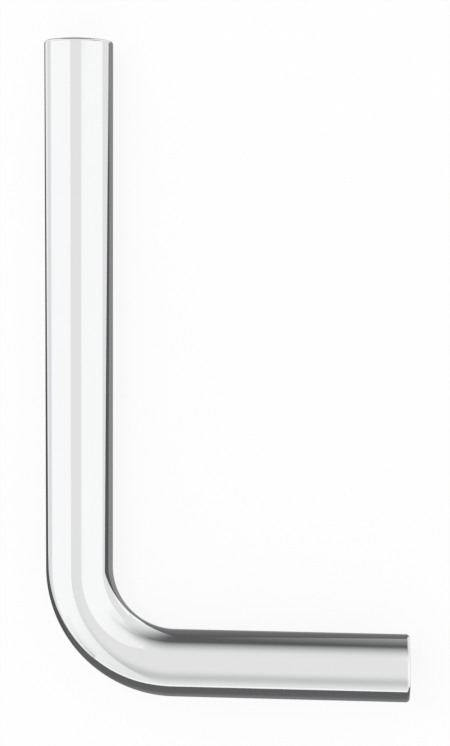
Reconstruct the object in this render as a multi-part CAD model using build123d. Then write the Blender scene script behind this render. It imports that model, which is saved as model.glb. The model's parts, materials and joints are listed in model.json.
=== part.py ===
from build123d import *
from math import cos, radians, sin, tan
import os

# Trap bend pipe: one length of thin brass waste tube, drawn round a right angle and chrome plated.
# It lies on its side, as it comes to rest, with both legs on the plane z = 0.
# The long leg points along +Y and the short leg along +X.
# The origin is under the middle of the pipe's outline.

# Driving dimensions, in millimetres and degrees
TUBE_DIAMETER = 32.0  # outside, the common size of basin waste tube
WALL = 1.0
BEND_RADIUS = 46.0  # to the centre line of the tube
BEND_ANGLE = 90.0  # how far the short leg turns away from the long leg
LONG_REACH = 295.0  # from the corner where the two leg axes cross to the long leg's mouth
SHORT_REACH = 158.5  # from the same corner to the short leg's mouth
LIP_INSIDE_RADIUS = 0.5  # the wall is turned in round this radius at each mouth

# Radii of the tube and of its turned-in lip
tube_radius = TUBE_DIAMETER / 2
bore_radius = tube_radius - WALL
nose_radius = LIP_INSIDE_RADIUS + WALL
mouth_radius = tube_radius - nose_radius

# Straight runs, from the ends of the bend to where the lips start
bend_setback = BEND_RADIUS * tan(radians(BEND_ANGLE) / 2)
long_run = LONG_REACH - bend_setback - nose_radius
short_run = SHORT_REACH - bend_setback - nose_radius

# Planes across the two ends of the bend, each facing out along its leg, with the axes' corner at zero
long_direction = Vector(0, 1, 0)
short_direction = Vector(sin(radians(BEND_ANGLE)), -cos(radians(BEND_ANGLE)), 0)
long_start = Plane(origin=long_direction * bend_setback, z_dir=long_direction)
short_start = Plane(origin=short_direction * bend_setback, z_dir=short_direction)


def tube_section(plane):
    """Cross-section of the tube, a ring one wall thick."""
    return plane * (Circle(tube_radius) - Circle(bore_radius))


def turned_in_lip(plane):
    """Rim of a mouth: the wall turned in through a quarter circle, which leaves a rounded nose."""
    rolled_wall = Circle(nose_radius) - Circle(LIP_INSIDE_RADIUS)
    quarter = Rectangle(nose_radius, nose_radius, align=(Align.MIN, Align.MIN))
    profile = Plane.XZ * Pos(mouth_radius, 0) * (rolled_wall & quarter)
    return plane.location * revolve(profile, Axis.Z)


def leg(start, run):
    """Straight tube from the bend out to its mouth, with its lip."""
    return extrude(tube_section(start), run) + turned_in_lip(start.offset(run))


def bend():
    """The quarter turn that joins the legs, swept round the bend's centre."""
    bend_centre = Axis((BEND_RADIUS, bend_setback, 0), (0, 0, 1))
    return revolve(tube_section(long_start), bend_centre, BEND_ANGLE)


pipe = bend() + leg(long_start, long_run) + leg(short_start, short_run)

# Lay the pipe on z = 0 with the origin under the middle of its outline
outline = pipe.bounding_box()
bend_pipe = Pos(-outline.center().X, -outline.center().Y, -outline.min.Z) * pipe

os.makedirs("parts", exist_ok=True)
export_step(bend_pipe, "parts/bend_pipe.step")
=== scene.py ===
import json
from math import atan2, cos, degrees, pi, radians, sin

import bmesh
import bpy
from bpy.props import FloatProperty, FloatVectorProperty, IntProperty, PointerProperty, StringProperty
from bpy.types import Operator, Panel, PropertyGroup
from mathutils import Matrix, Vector


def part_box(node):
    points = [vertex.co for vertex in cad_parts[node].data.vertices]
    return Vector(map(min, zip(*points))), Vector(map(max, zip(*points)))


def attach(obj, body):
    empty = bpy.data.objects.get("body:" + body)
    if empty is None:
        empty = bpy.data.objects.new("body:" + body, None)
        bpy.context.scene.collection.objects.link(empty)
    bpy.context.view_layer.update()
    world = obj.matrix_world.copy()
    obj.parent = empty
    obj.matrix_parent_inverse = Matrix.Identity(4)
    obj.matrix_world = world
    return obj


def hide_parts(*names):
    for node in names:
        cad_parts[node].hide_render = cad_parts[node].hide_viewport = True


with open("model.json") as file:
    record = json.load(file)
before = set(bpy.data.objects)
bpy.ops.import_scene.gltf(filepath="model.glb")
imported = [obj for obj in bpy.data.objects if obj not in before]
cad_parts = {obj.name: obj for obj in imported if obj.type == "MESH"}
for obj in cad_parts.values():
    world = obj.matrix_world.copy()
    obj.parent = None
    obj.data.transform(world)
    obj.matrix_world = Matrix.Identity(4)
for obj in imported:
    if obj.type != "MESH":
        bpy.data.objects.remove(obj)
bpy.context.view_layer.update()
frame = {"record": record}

bl_info = {
    "name": "Trap Bend Pipe",
    "version": (1, 0, 0),
    "blender": (4, 5, 0),
    "location": "View3D > Sidebar > Bend Pipe",
    "description": "Models a chrome-plated waste pipe on its packed frame and sets it in a light tent",
    "category": "Object",
}

MM = 0.001

# Places and sizes of the tube, from the frame: each leg's mount stands where that leg's lip starts
PIPE_NODE = "bend_pipe"
PIPE_BODY = "root"
MOUNTS = {mount["name"]: mount for mount in frame["record"]["mounts"]}
LONG_END = MOUNTS["long_leg_end"]
SHORT_END = MOUNTS["short_leg_end"]
LONG_LIP = Vector(LONG_END["pos_m"])
SHORT_LIP = Vector(SHORT_END["pos_m"])
LONG_RUN = LONG_END["dims"]["length_mm"] * MM
SHORT_RUN = SHORT_END["dims"]["length_mm"] * MM
TUBE_RADIUS = LONG_END["dims"]["r_mm"] * MM
NOSE_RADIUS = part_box(PIPE_NODE)[1].y - LONG_LIP.y

# The corner where the two leg axes cross, and the bend that rounds it
CORNER = Vector((LONG_LIP.x, SHORT_LIP.y, LONG_LIP.z))
BEND_RADIUS = LONG_LIP.y - LONG_RUN - CORNER.y
BEND_CENTRE = CORNER + Vector((BEND_RADIUS, BEND_RADIUS, 0))
BEND_TURN = pi / 2
BEND_LENGTH = BEND_RADIUS * BEND_TURN

# How far points may lie from their ring, how close points are that become one, and the sharpest smooth edge
RING_TOLERANCE = NOSE_RADIUS * 0.01
MERGE_DISTANCE = NOSE_RADIUS * 0.001
SMOOTH_ANGLE = radians(40)

# Mesh attributes that the materials read, and the colour sockets of a Mix node
STRAIGHT_PLACE = "straight_place"
CARD_GLOW = "card_glow"
MIX_FIRST = 6
MIX_SECOND = 7
MIX_RESULT = 2


class PipeSizes(PropertyGroup):
    """How the tube's mesh is made."""

    wall: FloatProperty(
        name="Wall", description="Thickness of the tube's wall", default=1.0 * MM, unit="LENGTH",
    )
    around: IntProperty(name="Around", description="Faces round the tube", default=128)
    ring_spacing: FloatProperty(
        name="Ring spacing", description="Length of the faces along a leg", default=10 * MM, unit="LENGTH",
    )
    end_step: FloatProperty(
        name="End step", description="Short faces at a leg's ends, which keep its reflections straight",
        default=0.5 * MM, unit="LENGTH",
    )
    bend_steps: IntProperty(name="Bend steps", description="Faces along the bend", default=48)
    lip_steps: IntProperty(name="Lip steps", description="Faces along the round of a lip", default=10)


class PipeFinish(PropertyGroup):
    """Colours and wear of the tube's surfaces; colours are sRGB hex."""

    chrome: StringProperty(name="Chrome", description="Bright chrome plate", default="#E3E3E3")
    chrome_haze: StringProperty(
        name="Haze", description="Chrome plate with a faint haze", default="#E1E1E1",
    )
    brass: StringProperty(name="Brass", description="Bare drawn brass", default="#D2AE70")
    brass_dull: StringProperty(name="Dull brass", description="Brass that has darkened", default="#A98650")
    plated_depth: FloatProperty(
        name="Plated depth", description="How far the plating reaches into each mouth",
        default=14 * MM, unit="LENGTH",
    )


class StageLook(PropertyGroup):
    """Camera, paper and light of the picture; colours are sRGB hex."""

    camera_offset: FloatVectorProperty(
        name="Camera offset", description="From the corner of the leg axes to the camera",
        default=(117.63 * MM, 208.66 * MM, 751.25 * MM), subtype="XYZ", unit="LENGTH",
    )
    camera_turn: FloatVectorProperty(
        name="Camera turn", description="Tilt, swing and roll of the camera away from straight down",
        default=(radians(-5.197), radians(3.654), radians(0.724)), subtype="EULER",
    )
    lens: FloatProperty(
        name="Lens", description="Focal length in millimetres", default=77.15, unit="CAMERA",
    )
    floor: StringProperty(name="Floor", description="White paper on the floor", default="#FAFAFA")
    floor_radius: FloatProperty(
        name="Floor radius", description="Reach of the paper", default=6.0, unit="LENGTH",
    )
    floor_white: FloatProperty(
        name="Floor white", description="Share of plain white in the paper that is looked at",
        default=0.88, subtype="FACTOR",
    )
    # Painted light and painted shade: colours of the glowing cards that only reflections show
    card: StringProperty(name="Card", description="Colour of the lit cards", default="#FDFFFE")
    shade: StringProperty(name="Shade", description="Colour of cards in shade", default="#FBFCFF")
    tent_light: FloatProperty(
        name="Tent light", description="Light that the tent throws on matt surfaces; 1 is white",
        default=0.8, subtype="FACTOR",
    )
    lamp_offset: FloatVectorProperty(
        name="Lamp offset", description="From the corner of the leg axes to the overhead lamp",
        default=(-0.5, 0.6, 1.5), subtype="XYZ", unit="LENGTH",
    )
    lamp_width: FloatProperty(
        name="Lamp width", description="Diameter of the overhead lamp", default=0.9, unit="LENGTH",
    )
    lamp_power: FloatProperty(
        name="Lamp power", description="Power of the overhead lamp", default=6.0, unit="POWER",
    )


def linear(hex_colour):
    """An sRGB hex colour as linear red, green, blue and alpha."""
    channels = [int(hex_colour[i:i + 2], 16) / 255 for i in (1, 3, 5)]
    return [c / 12.92 if c <= 0.04045 else ((c + 0.055) / 1.055) ** 2.4 for c in channels] + [1.0]


def add_node(tree, kind, settings=None, sockets=None, links=None):
    """Adds a node, sets its options and input values, and links other nodes' outputs to its inputs."""
    node = tree.nodes.new(kind)
    for name, value in (settings or {}).items():
        setattr(node, name, value)
    for name, value in (sockets or {}).items():
        node.inputs[name].default_value = value
    for name, source in (links or {}).items():
        tree.links.new(source, node.inputs[name])
    return node


def new_material(name):
    """An empty node material."""
    material = bpy.data.materials.new(name)
    material.use_nodes = True
    material.node_tree.nodes.clear()
    return material


def per_metre(size_mm):
    """How many times a pattern of that size, in millimetres, repeats in a metre."""
    return 1 / (size_mm * MM)


def mirror_chrome_plate(finish):
    """Bright chrome on polished brass: a cool mirror, with faint buffing lines that run round the tube."""
    material = new_material("mirror_chrome_plate")
    tree = material.node_tree
    place = add_node(tree, "ShaderNodeAttribute", {"attribute_name": STRAIGHT_PLACE}).outputs["Vector"]
    # Buffing lines are far finer than this on the real tube; they are drawn wide enough to show
    lines_place = add_node(
        tree, "ShaderNodeVectorMath", {"operation": "MULTIPLY"},
        {1: (per_metre(0.7), per_metre(14), per_metre(14))}, {0: place},
    )
    lines = add_node(
        tree, "ShaderNodeTexNoise", sockets={"Scale": 1.0, "Detail": 3.0, "Roughness": 0.6},
        links={"Vector": lines_place.outputs[0]},
    ).outputs["Fac"]
    haze = add_node(
        tree, "ShaderNodeTexNoise", sockets={"Scale": per_metre(35), "Detail": 2.0}, links={"Vector": place},
    ).outputs["Fac"]
    sway = add_node(
        tree, "ShaderNodeTexNoise", sockets={"Scale": per_metre(24), "Detail": 0.0}, links={"Vector": place},
    ).outputs["Fac"]
    colour = add_node(
        tree, "ShaderNodeMix", {"data_type": "RGBA"},
        {MIX_FIRST: linear(finish.chrome), MIX_SECOND: linear(finish.chrome_haze)}, {"Factor": haze},
    )
    mixed = add_node(tree, "ShaderNodeMath", {"operation": "MULTIPLY_ADD"}, {1: 0.7}, {0: lines, 2: haze})
    roughness = add_node(
        tree, "ShaderNodeMapRange",
        sockets={"From Min": 0.5, "From Max": 1.2, "To Min": 0.03, "To Max": 0.07},
        links={"Value": mixed.outputs[0]},
    )
    # The drawn tube's slow sway, and the far shallower buffing lines
    sway_bump = add_node(
        tree, "ShaderNodeBump", sockets={"Strength": 1.0, "Distance": 0.03 * MM}, links={"Height": sway},
    )
    lines_bump = add_node(
        tree, "ShaderNodeBump", sockets={"Strength": 1.0, "Distance": 0.0008 * MM},
        links={"Height": lines, "Normal": sway_bump.outputs[0]},
    )
    shader = add_node(
        tree, "ShaderNodeBsdfPrincipled", sockets={"Metallic": 1.0},
        links={
            "Base Color": colour.outputs[MIX_RESULT],
            "Roughness": roughness.outputs[0],
            "Normal": lines_bump.outputs[0],
        },
    )
    add_node(tree, "ShaderNodeOutputMaterial", links={"Surface": shader.outputs[0]})
    return material


def drawn_brass_bore(finish):
    """Bare brass as the drawing die left it, dull and streaked, with plating thrown into each mouth."""
    material = new_material("drawn_brass_bore")
    tree = material.node_tree
    place = add_node(tree, "ShaderNodeAttribute", {"attribute_name": STRAIGHT_PLACE}).outputs["Vector"]
    streak_place = add_node(
        tree, "ShaderNodeVectorMath", {"operation": "MULTIPLY"},
        {1: (per_metre(60), per_metre(0.8), per_metre(0.8))}, {0: place},
    )
    streaks = add_node(
        tree, "ShaderNodeTexNoise", sockets={"Scale": 1.0, "Detail": 4.0},
        links={"Vector": streak_place.outputs[0]},
    ).outputs["Fac"]
    stains = add_node(
        tree, "ShaderNodeTexNoise", sockets={"Scale": per_metre(18), "Detail": 4.0}, links={"Vector": place},
    ).outputs["Fac"]
    brass = add_node(
        tree, "ShaderNodeMix", {"data_type": "RGBA"},
        {MIX_FIRST: linear(finish.brass), MIX_SECOND: linear(finish.brass_dull)}, {"Factor": stains},
    )
    # Distance from the middle of the tube's length, so that both mouths share one ragged fade
    first = -LONG_RUN - NOSE_RADIUS
    last = BEND_LENGTH + SHORT_RUN + NOSE_RADIUS
    half_length = (last - first) / 2
    along = add_node(tree, "ShaderNodeSeparateXYZ", links={0: place}).outputs["X"]
    from_middle = add_node(
        tree, "ShaderNodeMath", {"operation": "SUBTRACT"}, {1: (first + last) / 2}, {0: along},
    )
    distance = add_node(tree, "ShaderNodeMath", {"operation": "ABSOLUTE"}, links={0: from_middle.outputs[0]})
    wander = add_node(
        tree, "ShaderNodeMath", {"operation": "MULTIPLY_ADD"}, {1: finish.plated_depth * 0.5},
        {0: stains, 2: distance.outputs[0]},
    )
    plated = add_node(
        tree, "ShaderNodeMapRange", {"interpolation_type": "SMOOTHSTEP"},
        {
            "From Min": half_length - finish.plated_depth,
            "From Max": half_length,
            "To Min": 0.0,
            "To Max": 1.0,
        },
        {"Value": wander.outputs[0]},
    ).outputs[0]
    colour = add_node(
        tree, "ShaderNodeMix", {"data_type": "RGBA"}, {MIX_SECOND: linear(finish.chrome_haze)},
        {MIX_FIRST: brass.outputs[MIX_RESULT], "Factor": plated},
    )
    bare_roughness = add_node(
        tree, "ShaderNodeMapRange",
        sockets={"From Min": 0.3, "From Max": 0.7, "To Min": 0.62, "To Max": 0.8}, links={"Value": streaks},
    )
    roughness = add_node(
        tree, "ShaderNodeMix", {"data_type": "FLOAT"}, {"B": 0.45},
        {"Factor": plated, "A": bare_roughness.outputs[0]},
    )
    bump = add_node(
        tree, "ShaderNodeBump", sockets={"Strength": 1.0, "Distance": 0.02 * MM}, links={"Height": streaks},
    )
    # The film of oxide that drawing leaves scatters part of the light
    shader = add_node(
        tree, "ShaderNodeBsdfPrincipled", sockets={"Metallic": 0.6},
        links={
            "Base Color": colour.outputs[MIX_RESULT],
            "Roughness": roughness.outputs[0],
            "Normal": bump.outputs[0],
        },
    )
    add_node(tree, "ShaderNodeOutputMaterial", links={"Surface": shader.outputs[0]})
    return material


def straightened(point):
    """Where a point of the tube lay before bending: along it, towards the bend's inside, and up."""
    up = point.z - CORNER.z
    if point.y > BEND_CENTRE.y:
        return BEND_CENTRE.y - point.y, point.x - CORNER.x, up
    if point.x > BEND_CENTRE.x:
        return BEND_LENGTH + point.x - BEND_CENTRE.x, point.y - CORNER.y, up
    arm = (point - BEND_CENTRE).xy
    turned = atan2(-arm.y, -arm.x)
    return BEND_RADIUS * turned, BEND_RADIUS - arm.length, up


def select_ring(mesh, axis, place):
    """Selects only the ring of edges that lies at that place along an axis."""
    bpy.ops.mesh.select_all(action="DESELECT")
    shape = bmesh.from_edit_mesh(mesh)
    for edge in shape.edges:
        edge.select_set(all(abs(vertex.co[axis] - place) < RING_TOLERANCE for vertex in edge.verts))
    bmesh.update_edit_mesh(mesh)


def extrude_leg(direction, length, sizes):
    """Extrudes the selected ring along a leg, in even steps with a short one at each end."""
    middle = length - 2 * sizes.end_step
    count = max(1, round(middle / sizes.ring_spacing))
    for step in [sizes.end_step] + count * [middle / count] + [sizes.end_step]:
        bpy.ops.mesh.extrude_edges_move(TRANSFORM_OT_translate={"value": direction * step})


def turn_in_lip(start, direction, steps):
    """Turns the selected ring in through a quarter circle, as a roller does at a cut end."""
    mouth_radius = TUBE_RADIUS - NOSE_RADIUS
    radius = TUBE_RADIUS
    reached = 0.0
    for step in range(1, steps + 1):
        turn = pi / 2 * step / steps
        next_radius = mouth_radius + NOSE_RADIUS * cos(turn)
        next_reach = NOSE_RADIUS * sin(turn)
        forward = direction * (next_reach - reached)
        bpy.ops.mesh.extrude_edges_move(TRANSFORM_OT_translate={"value": forward})
        shrink = [1 if part else next_radius / radius for part in direction]
        bpy.ops.transform.resize(value=shrink, center_override=start + direction * next_reach)
        radius = next_radius
        reached = next_reach


def check_closed(mesh):
    """Stops the script if the mesh has an edge that is open or shared by more than two faces."""
    shape = bmesh.new()
    shape.from_mesh(mesh)
    faults = sum(not edge.is_manifold for edge in shape.edges)
    shape.free()
    if faults:
        raise RuntimeError(f"{mesh.name} isn't closed at {faults} edges")


class BENDPIPE_OT_plated_tube(Operator):
    """Model the bent tube with its turned-in lips, and give it its plated and bare surfaces"""

    bl_idname = "bendpipe.plated_tube"
    bl_label = "Plated Tube"

    def execute(self, context):
        sizes = context.scene.bend_pipe_sizes
        finish = context.scene.bend_pipe_finish
        to_short = Vector((1, 0, 0))
        to_long = Vector((0, 1, 0))
        bpy.ops.object.select_all(action="DESELECT")
        bpy.ops.mesh.primitive_circle_add(
            vertices=sizes.around, radius=TUBE_RADIUS, location=LONG_LIP, rotation=(pi / 2, 0, 0),
        )
        tube = context.object
        tube.name = tube.data.name = "plated_tube"
        bpy.ops.object.transform_apply(location=True, rotation=True, scale=True)

        # One skin, from the long leg's lip down that leg, round the bend and out along the short leg
        bpy.ops.object.mode_set(mode="EDIT")
        bpy.ops.mesh.select_all(action="SELECT")
        extrude_leg(-to_long, LONG_RUN, sizes)
        bpy.ops.mesh.spin(steps=sizes.bend_steps, angle=-BEND_TURN, center=BEND_CENTRE, axis=(0, 0, 1))
        extrude_leg(to_short, SHORT_RUN, sizes)
        turn_in_lip(SHORT_LIP, to_short, sizes.lip_steps)
        select_ring(tube.data, 1, LONG_LIP.y)
        turn_in_lip(LONG_LIP, to_long, sizes.lip_steps)
        bpy.ops.mesh.select_all(action="SELECT")
        bpy.ops.mesh.remove_doubles(threshold=MERGE_DISTANCE)
        bpy.ops.mesh.normals_make_consistent(inside=False)
        bpy.ops.object.mode_set(mode="OBJECT")

        # The wall grows inwards, and its inner side takes the second material
        tube.data.materials.append(mirror_chrome_plate(finish))
        tube.data.materials.append(drawn_brass_bore(finish))
        wall = tube.modifiers.new("wall", "SOLIDIFY")
        wall.thickness = sizes.wall
        wall.offset = -1
        wall.use_even_offset = True
        wall.material_offset = 1
        bpy.ops.object.modifier_apply(modifier=wall.name)
        check_closed(tube.data)
        bpy.ops.object.shade_smooth_by_angle(angle=SMOOTH_ANGLE)

        # Surface patterns follow the tube round the bend
        places = tube.data.attributes.new(STRAIGHT_PLACE, "FLOAT_VECTOR", "POINT")
        for vertex, place in zip(tube.data.vertices, places.data):
            place.vector = straightened(vertex.co)

        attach(tube, PIPE_BODY)
        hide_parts(PIPE_NODE)
        return {"FINISHED"}


def seen_directly(tree, share):
    """A factor: the share where the camera, a mirror or glass looks, and nothing for other light."""
    path = add_node(tree, "ShaderNodeLightPath")
    mirrored = add_node(
        tree, "ShaderNodeMath", {"operation": "MAXIMUM"},
        links={0: path.outputs["Is Camera Ray"], 1: path.outputs["Is Glossy Ray"]},
    )
    direct = add_node(
        tree, "ShaderNodeMath", {"operation": "MAXIMUM"},
        links={0: mirrored.outputs[0], 1: path.outputs["Is Transmission Ray"]},
    )
    part = add_node(tree, "ShaderNodeMath", {"operation": "MULTIPLY"}, {1: share}, {0: direct.outputs[0]})
    return part.outputs[0]


def matt_white_paper(look):
    """Matt paper: near white to the camera and the chrome, with the faint shadow of what lies on it."""
    material = new_material("matt_white_paper")
    tree = material.node_tree
    paper = add_node(tree, "ShaderNodeBsdfDiffuse", sockets={"Color": linear(look.floor)})
    glow = add_node(tree, "ShaderNodeEmission", sockets={"Strength": 1.0})
    shader = add_node(
        tree, "ShaderNodeMixShader",
        links={0: seen_directly(tree, look.floor_white), 1: paper.outputs[0], 2: glow.outputs[0]},
    )
    add_node(tree, "ShaderNodeOutputMaterial", links={"Surface": shader.outputs[0]})
    return material


def glowing_card(name, colour):
    """Painted light for the lit cards and painted shade for the shaded ones: it glows as brightly as its own
    mesh says at each place, lit by nothing.
    """
    material = new_material(name)
    material.cycles.emission_sampling = "NONE"
    tree = material.node_tree
    glow = add_node(tree, "ShaderNodeAttribute", {"attribute_name": CARD_GLOW})
    shader = add_node(
        tree, "ShaderNodeEmission", sockets={"Color": linear(colour)},
        links={"Strength": glow.outputs["Fac"]},
    )
    add_node(tree, "ShaderNodeOutputMaterial", links={"Surface": shader.outputs[0]})
    return material


# What the chrome mirrors: glowing cards, painted light and shade that only reflections show, in millimetres
# from the corner of the leg axes, at floor level.
# A card's shape takes shares across and up it, and its glow takes a place on it; a glow of 1 is white.
CARD_STEPS = 48
TUBE_AXIS = TUBE_RADIUS / MM
TURN_CENTRE = BEND_RADIUS / MM

# Softboxes, and the walls at the far end and beyond the short leg
TENT_SIDE = 2200
SOFTBOX_HEIGHT = 1600
FAR_WALL = 500
OUTER_WALL = -600
OUTER_WALL_STEP = -73
OUTER_GROUND_EDGE = -10
WEDGE_START = -44.5

# Heights of the cards that lie on the floor, so that the painted shade covers the painted light
LIT_LAYER = 0.3
NEAR_LAYER = 0.35
PATCH_LAYER = 0.4
UNDER_LAYER = 0.45
GROUND_LAYER = 0.5
STRIP_LAYER = 0.6
GUTTER_LAYER = 0.7

# Low dark cards in the angle between the legs, painted shade, and the arch at the long leg's mouth, a
# painted highlight
FENCE_REACH = 28
FENCE_RADIUS = TURN_CENTRE - FENCE_REACH
FENCE_TOP = 25.8
FENCE_GAP = 0.5
FOOT_GAP = 0.2
STRIP_START = 8
STRIP_END = FENCE_REACH + FENCE_GAP
LONG_FENCE_END = 298
LONG_STRIP_END = 302
SHORT_FENCE_END = 160
SHORT_STRIP_END = 164
ARCH_PLACE = 298.5


def share_of(value, start, end):
    """How far a value has come on its way from start to end, from 0 to 1."""
    return min(max((value - start) / (end - start), 0.0), 1.0)


def fade(value, start, end):
    """The same share, eased at both ends."""
    share = share_of(value, start, end)
    return share * share * (3 - 2 * share)


def between(low, high, share):
    """The value that lies that share of the way from low to high."""
    return low + (high - low) * share


def flat_card(low_left, low_right, high_left, high_right):
    """Shape of a flat card with four corners."""
    corners = [Vector(corner) for corner in (low_left, low_right, high_left, high_right)]

    def shape(across, up):
        low = corners[0].lerp(corners[1], across)
        high = corners[2].lerp(corners[3], across)
        return low.lerp(high, up)

    return shape


def lying_card(height, near, far):
    """Shape of a level card between two edges, each given as its left, its right and its y."""
    near_left, near_right, near_y = near
    far_left, far_right, far_y = far
    return flat_card(
        (near_left, near_y, height), (near_right, near_y, height),
        (far_left, far_y, height), (far_right, far_y, height),
    )


def standing_card(y, left, right):
    """Shape of an upright card between two edges, each given as its x, its foot and its top."""
    left_x, left_foot, left_top = left
    right_x, right_foot, right_top = right
    return flat_card(
        (left_x, y, left_foot), (right_x, y, right_foot), (left_x, y, left_top), (right_x, y, right_top),
    )


def even(value):
    """A card that is equally bright all over."""
    return lambda place: value


def add_card(name, material, glow, shape):
    """Adds a card that only the chrome sees, which paints light and shade into its reflection."""
    bpy.ops.object.select_all(action="DESELECT")
    bpy.ops.mesh.primitive_grid_add(x_subdivisions=CARD_STEPS, y_subdivisions=CARD_STEPS, size=1)
    card = bpy.context.object
    card.name = card.data.name = name
    brightness = card.data.attributes.new(CARD_GLOW, "FLOAT", "POINT")
    for vertex, value in zip(card.data.vertices, brightness.data):
        place = shape(vertex.co.x + 0.5, vertex.co.y + 0.5)
        value.value = glow(place)
        vertex.co = (CORNER.x + place.x * MM, CORNER.y + place.y * MM, place.z * MM)
    card.data.materials.append(material)
    card.visible_camera = False
    card.visible_diffuse = False
    card.visible_transmission = False
    card.visible_volume_scatter = False
    card.visible_shadow = False


def swing_of(place):
    """How far round from straight across the long leg a place lies, in degrees."""
    return degrees(atan2(abs(place.y), abs(place.x)))


def softbox_left_glow(place):
    """Painted light that reflections show: brightest beside the long leg, and dimmer towards the short leg's
    side.
    """
    return between(1.04, 1.24, fade(swing_of(place), 72, 30))


def softbox_right_glow(place):
    """Painted light that reflections show: brightest beside the long leg, and slowly dimmer towards that
    leg's end.
    """
    return between(1.12, 1.24, fade(swing_of(place), 80, 10))


def add_softboxes(lit):
    """Softboxes left and right, with a slot between them over the pipe: glowing cards, painted light that
    only reflections show.
    """
    add_card(
        "softbox_left_top", lit, softbox_left_glow,
        lying_card(SOFTBOX_HEIGHT, (-TENT_SIDE, -580, -440), (-TENT_SIDE, -578, 900)),
    )
    add_card(
        "softbox_left_far", lit, softbox_left_glow,
        lying_card(SOFTBOX_HEIGHT, (-TENT_SIDE, -537, -6000), (-TENT_SIDE, -537, -440)),
    )
    add_card(
        "softbox_left_side", lit, softbox_left_glow,
        flat_card(
            (-TENT_SIDE, -4000, 0), (-TENT_SIDE, 900, 0),
            (-TENT_SIDE, -4000, SOFTBOX_HEIGHT), (-TENT_SIDE, 900, SOFTBOX_HEIGHT),
        ),
    )
    add_card(
        "softbox_right_top", lit, softbox_right_glow,
        lying_card(SOFTBOX_HEIGHT, (388, TENT_SIDE, -900), (802, TENT_SIDE, 6000)),
    )
    add_card(
        "softbox_right_side", lit, softbox_right_glow,
        flat_card(
            (TENT_SIDE, -3000, 0), (TENT_SIDE, 4000, 0),
            (TENT_SIDE, -3000, SOFTBOX_HEIGHT), (TENT_SIDE, 4000, SOFTBOX_HEIGHT),
        ),
    )


def lit_paper_glow(place):
    """Painted light on the paper, brighter and brighter towards the left softbox; only reflections show it.
    """
    return between(0.96, 1.24, fade(place.x, -95, -260))


def near_paper_glow(place):
    """Painted light on the paper beside the long leg: bright next to the dark wedge, then a little dull."""
    beside = between(1.12, 0.945, fade(place.x, -46, -60))
    return between(beside, 0.975, fade(place.x, -80, -130))


def add_lit_paper(lit, shaded):
    """Painted light on the paper on both sides of the pipe, which only reflections show."""
    add_card(
        "floor_lit_left", lit, lit_paper_glow,
        lying_card(LIT_LAYER, (-TENT_SIDE, -95, 0), (-TENT_SIDE, -95, FAR_WALL)),
    )
    add_card(
        "floor_near_left", shaded, near_paper_glow,
        lying_card(NEAR_LAYER, (-130, -40, 0), (-130, -40, FAR_WALL)),
    )
    add_card(
        "floor_lit_outer", lit, lit_paper_glow,
        flat_card(
            (-TENT_SIDE, -2600, LIT_LAYER), (-440, OUTER_WALL, LIT_LAYER),
            (-TENT_SIDE, 0, LIT_LAYER), (-70, 0, LIT_LAYER),
        ),
    )
    add_card(
        "floor_lit_right", lit, softbox_right_glow,
        lying_card(LIT_LAYER, (297, TENT_SIDE, -900), (297, TENT_SIDE, 900)),
    )


def overhead_dip_glow(place):
    """Painted reflection: a soft grey band half-way up the tent."""
    height = degrees(atan2(place.z, abs(place.y)))
    return between(0.73, 1.0, fade(abs(height - 54), 0, 27))


def far_wall_glow(place):
    """Painted reflection, light and shade: dark low down behind the long leg; white to the right, with a
    grey streak that climbs across it.
    """
    behind = 1 - 0.84 * (1 - share_of(place.z, 35, 485)) ** 2
    below = 1.15 - 0.67 * max((730 - place.x) / 480, 0) ** 2
    streak = 1.10 - 0.52 * max((800 - place.x) / 460, 0) ** 1.3
    above_line = place.z - 140 - 0.36 * (place.x - 310)
    climb = between(395, 260, fade(place.x, 290, 440))
    rise = share_of(above_line, 0, climb)
    top = between(1.10, 1.18, fade(place.z, 380, 640))
    above = between(top, streak, (1 - rise) ** 2)
    right = between(below, above, fade(above_line, -10, 10))
    right = between(right, 1.19, fade(place.x, 750, 1100))
    return between(behind, right, fade(place.x, 182, 222))


def far_floor_glow(place):
    """Painted reflection beyond the long leg's mouth: dark grey, darkest a little left of the pipe's middle.
    """
    return between(0.15, 0.42, fade(abs(place.x + 10), 5, 25))


def mouth_arch_shape(across, up):
    """A bright arch just beyond the long leg's mouth, a little wider than the tube: a painted highlight on
    the lip.
    """
    turn = between(-80, 75, across)
    radius = between(17.15 - 0.004 * turn, 20.2 - 0.02 * turn, up)
    return Vector((radius * sin(radians(turn)), ARCH_PLACE, TUBE_AXIS + radius * cos(radians(turn))))


def add_far_cards(lit, shaded):
    """Painted reflections over the pipe and at the long leg's end."""
    add_card(
        "overhead_dip", lit, overhead_dip_glow,
        flat_card((-259, -1500, 781), (420, -1500, 781), (-564, -264, 1679), (420, -264, 1679)),
    )
    add_card("far_wall", lit, far_wall_glow, standing_card(FAR_WALL, (-140, 0, 640), (1100, 0, 640)))
    add_card(
        "far_floor", shaded, far_floor_glow, lying_card(STRIP_LAYER, (-24, 14, 299), (-90, 48, FAR_WALL)),
    )
    add_card("mouth_arch", lit, even(1.18), mouth_arch_shape)


def outer_ground_glow(place):
    """Painted dark reflection: nearly black, and a little lighter close to the short leg."""
    return 0.15 + 0.11 * fade(place.y, -100, -20) * fade(place.x, -10, 40)


def outer_ground_turn_glow(place):
    """Painted dark reflection, darker still round the bend, and as the ground beside it where the short leg
    starts.
    """
    return between(0.11, outer_ground_glow(place), fade(place.x, 0, 15))


def outer_shade_glow(place):
    """Painted shade: a soft grey cloud that deepens towards the dark wall."""
    cloud = fade(place.z, 25, 150) * fade(place.z, 320, 150)
    return 1.19 - (0.10 + 0.29 * cloud) * max((place.x + 1000) / 500, 0) ** 1.5


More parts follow.
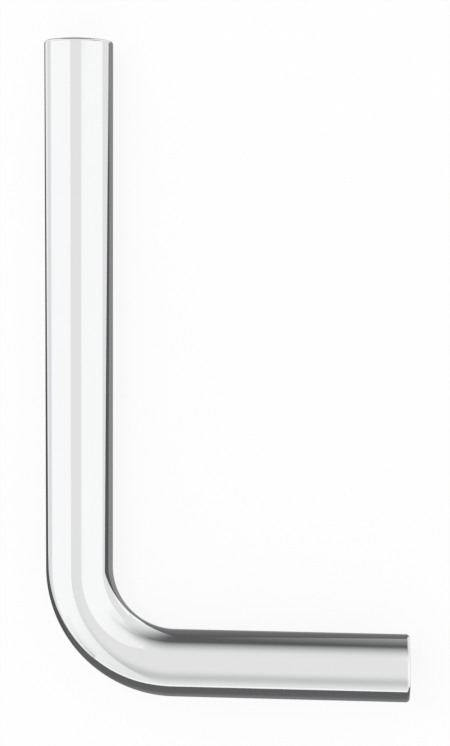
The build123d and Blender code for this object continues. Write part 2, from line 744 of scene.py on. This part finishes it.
def add_outer_cards(lit, shaded):
    """Painted dark reflection: dark ground beyond the short leg and left of the long one, and a low wall
    with a painted highlight along its top.
    """
    add_card(
        "outer_ground", shaded, outer_ground_glow,
        lying_card(GROUND_LAYER, (-488, 1000, OUTER_WALL), (-73, 172, OUTER_GROUND_EDGE)),
    )
    add_card(
        "outer_ground_turn", shaded, outer_ground_turn_glow,
        lying_card(GROUND_LAYER, (-72, TURN_CENTRE, OUTER_GROUND_EDGE), (WEDGE_START, 0, TURN_CENTRE)),
    )
    add_card(
        "outer_ground_wedge", shaded, even(0.10),
        lying_card(GROUND_LAYER, (WEDGE_START, 0, TURN_CENTRE), (-30.5, 0, 300)),
    )
    add_card(
        "outer_ground_under", shaded, outer_ground_glow,
        lying_card(UNDER_LAYER, (36, 172, OUTER_GROUND_EDGE), (36, 158, 0)),
    )
    add_card(
        "outer_wall_left", shaded, even(0.145),
        standing_card(OUTER_WALL, (-478, 0, 27), (OUTER_WALL_STEP, 0, 205)),
    )
    add_card(
        "outer_wall_right", shaded, even(0.145),
        standing_card(OUTER_WALL, (OUTER_WALL_STEP, 0, 205), (1000, 0, 218)),
    )
    add_card(
        "outer_rim_left", lit, even(1.22),
        standing_card(OUTER_WALL, (-461, 34.5, 121.5), (OUTER_WALL_STEP, 205, 292)),
    )
    add_card(
        "outer_rim_right", lit, even(1.22),
        standing_card(OUTER_WALL, (OUTER_WALL_STEP, 205, 292), (1000, 218, 288)),
    )
    add_card(
        "outer_shade", lit, outer_shade_glow,
        standing_card(OUTER_WALL - 0.5, (-1000, 0, 480), (-459, 0, 480)),
    )


def round_bend(turn, radius):
    """A place round the centre of the bend: 0 degrees is towards the long leg, 90 towards the short leg."""
    across = radius * cos(radians(turn))
    along = radius * sin(radians(turn))
    return Vector((TURN_CENTRE - across, TURN_CENTRE - along, 0))


def turn_of(place):
    """How far round the bend a place lies, in degrees."""
    return degrees(atan2(TURN_CENTRE - place.y, TURN_CENTRE - place.x))


def long_fence_top(place):
    """Height of the fence beside the long leg: it falls towards the mouth, and round the bend."""
    if place.y > TURN_CENTRE:
        return 20.3 - 8.8 * ((place.y - TURN_CENTRE) / 250) ** 1.35
    return 20.3 - 0.55 * max(turn_of(place) - 12, 0)


def long_fence_shape(across, up):
    """The fence beside the long leg."""
    place = Vector((FENCE_REACH, between(TURN_CENTRE, LONG_FENCE_END, across), 0))
    place.z = up * long_fence_top(place)
    return place


def long_fence_turn_shape(across, up):
    """The same fence, carried half-way round the bend."""
    place = round_bend(between(0, 49, across), FENCE_RADIUS)
    place.z = up * long_fence_top(place)
    return place


def long_fence_glow(place):
    """Painted shade: dark grey, with a black upper part that fades towards the mouth."""
    black = between(0.12, 0.30, fade(place.y, 225, 285))
    share_up = place.z / max(long_fence_top(place), 0.1)
    return between(0.33, black, fade(share_up, 0.5, 0.66))


def short_leg_painted_shade(place):
    """Painted shade on the floor beside the short leg: dark grey, darker away from the pipe."""
    if place.x > TURN_CENTRE:
        away = place.y
    else:
        away = TURN_CENTRE - (place - Vector((TURN_CENTRE, TURN_CENTRE, place.z))).length
    return between(0.19, 0.33, max((25 - away) / 8, 0) ** 1.5)


def bend_strip_shape(across, up):
    """Floor inside the bend, out to the fences, with a notch between them."""
    turn = between(0, 90, across)
    end = STRIP_END - 3.7 * fade(abs(turn - 57), 11, 0)
    place = round_bend(turn, TURN_CENTRE - between(STRIP_START, end, up))
    place.z = STRIP_LAYER
    return place


def bend_strip_glow(place):
    """Painted shade: dark grey beside the long leg, and as the strip is beside the short leg."""
    return between(0.33, short_leg_painted_shade(place), fade(turn_of(place), 40, 55))


def bend_patch_glow(place):
    """Painted light on the paper, a little brighter over the centre of the bend."""
    return 1 + 0.25 * fade((place - Vector((38, 36, PATCH_LAYER))).length, 13, 3)


def short_foot_top(place):
    """Height of the short fence's foot: it rises out of the bend and falls towards the mouth."""
    if place.x > TURN_CENTRE:
        return 17.4 - 0.075 * (place.x - TURN_CENTRE)
    return 0.68 * (turn_of(place) - 63)


def short_foot_shape(across, up):
    """The foot of the fence beside the short leg."""
    place = Vector((between(TURN_CENTRE, SHORT_FENCE_END, across), FENCE_REACH - FOOT_GAP, 0))
    place.z = up * short_foot_top(place)
    return place


def short_foot_turn_shape(across, up):
    """The same foot, carried on into the bend."""
    place = round_bend(between(63, 90, across), FENCE_RADIUS + FOOT_GAP)
    place.z = up * short_foot_top(place)
    return place


def short_foot_glow(place):
    """Painted shade: nearly black, darkest at the top."""
    return 0.20 - 0.0043 * place.z


def short_fence_turn_shape(across, up):
    """The fence beside the short leg, carried half-way round the bend."""
    place = round_bend(between(50, 90, across), FENCE_RADIUS)
    place.z = up * FENCE_TOP
    return place


def short_fence_turn_glow(place):
    """Painted light and shade: fades from white to nearly black, sooner higher up, with a painted highlight
    low down where it starts.
    """
    turn = turn_of(place)
    white = fade(turn - 0.8 * (24 - place.z), 82, 49)
    spot = fade(place.z, 12, 0) * fade(turn, 70, 56)
    return between(0.14, 1.0, white) + 0.25 * spot


def short_fence_glow(place):
    """Painted shade: nearly black, with a lighter band above its foot towards the mouth."""
    band = 0.13 + 0.0035 * max(place.x - 55, 0)
    band_top = 22.1 + 0.05 * (place.x - 90)
    return between(0.135, band, share_of(place.z, band_top, short_foot_top(place)))


def short_fence_back_glow(place):
    """Painted light: white paper, brighter along its top, a painted highlight."""
    return between(1.0, 1.22, fade(place.z, 14, 20))


def add_angle_cards(lit, shaded):
    """Painted shade that only reflections show: dark strips and low fences in the angle between the legs."""
    add_card(
        "long_strip", shaded, even(0.305),
        lying_card(
            STRIP_LAYER,
            (STRIP_START, STRIP_END, TURN_CENTRE),
            (STRIP_START, STRIP_END, LONG_STRIP_END),
        ),
    )
    add_card("long_fence", shaded, long_fence_glow, long_fence_shape)
    add_card("long_fence_turn", shaded, long_fence_glow, long_fence_turn_shape)
    add_card("bend_strip", shaded, bend_strip_glow, bend_strip_shape)
    add_card("bend_patch", lit, bend_patch_glow, lying_card(PATCH_LAYER, (28, 62, 28), (28, 62, 62)))
    add_card(
        "short_strip", shaded, short_leg_painted_shade,
        lying_card(
            GUTTER_LAYER,
            (TURN_CENTRE, SHORT_STRIP_END, STRIP_START),
            (TURN_CENTRE, SHORT_STRIP_END, STRIP_END),
        ),
    )
    add_card("short_foot_turn", shaded, short_foot_glow, short_foot_turn_shape)
    add_card("short_foot", shaded, short_foot_glow, short_foot_shape)
    add_card("short_fence_turn", lit, short_fence_turn_glow, short_fence_turn_shape)
    add_card(
        "short_fence", shaded, short_fence_glow,
        standing_card(FENCE_REACH, (TURN_CENTRE, 0, FENCE_TOP), (SHORT_FENCE_END, 0, FENCE_TOP)),
    )
    add_card(
        "short_fence_back", lit, short_fence_back_glow,
        standing_card(STRIP_END, (TURN_CENTRE, 0, FENCE_TOP), (SHORT_FENCE_END + 1, 0, FENCE_TOP)),
    )


class BENDPIPE_OT_stage(Operator):
    """Set the pipe on white paper in a light tent, with softboxes and dark cards that paint light and shade
    into its reflections, and the camera
    """

    bl_idname = "bendpipe.stage"
    bl_label = "Light Tent And Camera"

    def execute(self, context):
        scene = context.scene
        look = scene.bend_pipe_stage
        scene.view_settings.view_transform = "Standard"

        # White surroundings, a little dimmer as a light than as a sight
        world = bpy.data.worlds.new("white_tent")
        scene.world = world
        world.use_nodes = True
        tree = world.node_tree
        tree.nodes.clear()
        direct = seen_directly(tree, 1 - look.tent_light)
        strength = add_node(tree, "ShaderNodeMath", {"operation": "ADD"}, {1: look.tent_light}, {0: direct})
        white = add_node(
            tree, "ShaderNodeBackground", sockets={"Color": (1, 1, 1, 1)},
            links={"Strength": strength.outputs[0]},
        )
        add_node(tree, "ShaderNodeOutputWorld", links={"Surface": white.outputs[0]})

        bpy.ops.object.select_all(action="DESELECT")
        bpy.ops.mesh.primitive_circle_add(vertices=96, radius=look.floor_radius, fill_type="NGON")
        floor = context.object
        floor.name = floor.data.name = "floor"
        floor.data.materials.append(matt_white_paper(look))

        # The shaded card's faint blue is painted shade, and the lit card's colour is painted light
        lit = glowing_card("lit_card", look.card)
        shaded = glowing_card("shaded_card", look.shade)
        add_softboxes(lit)
        add_lit_paper(lit, shaded)
        add_far_cards(lit, shaded)
        add_outer_cards(lit, shaded)
        add_angle_cards(lit, shaded)

        # A soft lamp overhead gives the paper its faint shadow
        bpy.ops.object.light_add(type="AREA", location=CORNER + Vector(look.lamp_offset))
        lamp = context.object
        lamp.name = lamp.data.name = "overhead_lamp"
        lamp.data.shape = "DISK"
        lamp.data.size = look.lamp_width
        lamp.data.energy = look.lamp_power
        lamp.rotation_euler = (CORNER - lamp.location).to_track_quat("-Z", "Y").to_euler()
        lamp.visible_camera = False
        lamp.visible_glossy = False

        bpy.ops.object.camera_add(location=CORNER + Vector(look.camera_offset))
        camera = context.object
        camera.name = camera.data.name = "camera"
        camera.rotation_mode = "ZYX"
        camera.rotation_euler = look.camera_turn
        camera.data.lens = look.lens
        scene.camera = camera
        return {"FINISHED"}


class BENDPIPE_PT_sidebar(Panel):
    """Sizes, colours and steps of the pipe"""

    bl_idname = "BENDPIPE_PT_sidebar"
    bl_label = "Trap Bend Pipe"
    bl_space_type = "VIEW_3D"
    bl_region_type = "UI"
    bl_category = "Bend Pipe"

    def draw(self, context):
        for group_name in GROUPS:
            group = getattr(context.scene, group_name)
            box = self.layout.box()
            for name in group.__annotations__:
                box.prop(group, name)
        self.layout.operator(BENDPIPE_OT_plated_tube.bl_idname)
        self.layout.operator(BENDPIPE_OT_stage.bl_idname)


CLASSES = (
    PipeSizes, PipeFinish, StageLook, BENDPIPE_OT_plated_tube, BENDPIPE_OT_stage, BENDPIPE_PT_sidebar,
)
GROUPS = {"bend_pipe_sizes": PipeSizes, "bend_pipe_finish": PipeFinish, "bend_pipe_stage": StageLook}


def register():
    for cls in CLASSES:
        bpy.utils.register_class(cls)
    for name, group in GROUPS.items():
        setattr(bpy.types.Scene, name, PointerProperty(type=group))


def unregister():
    for name in GROUPS:
        delattr(bpy.types.Scene, name)
    for cls in reversed(CLASSES):
        bpy.utils.unregister_class(cls)


def main():
    register()
    bpy.ops.bendpipe.plated_tube()
    bpy.ops.bendpipe.stage()


if __name__ == "__main__":
    main()
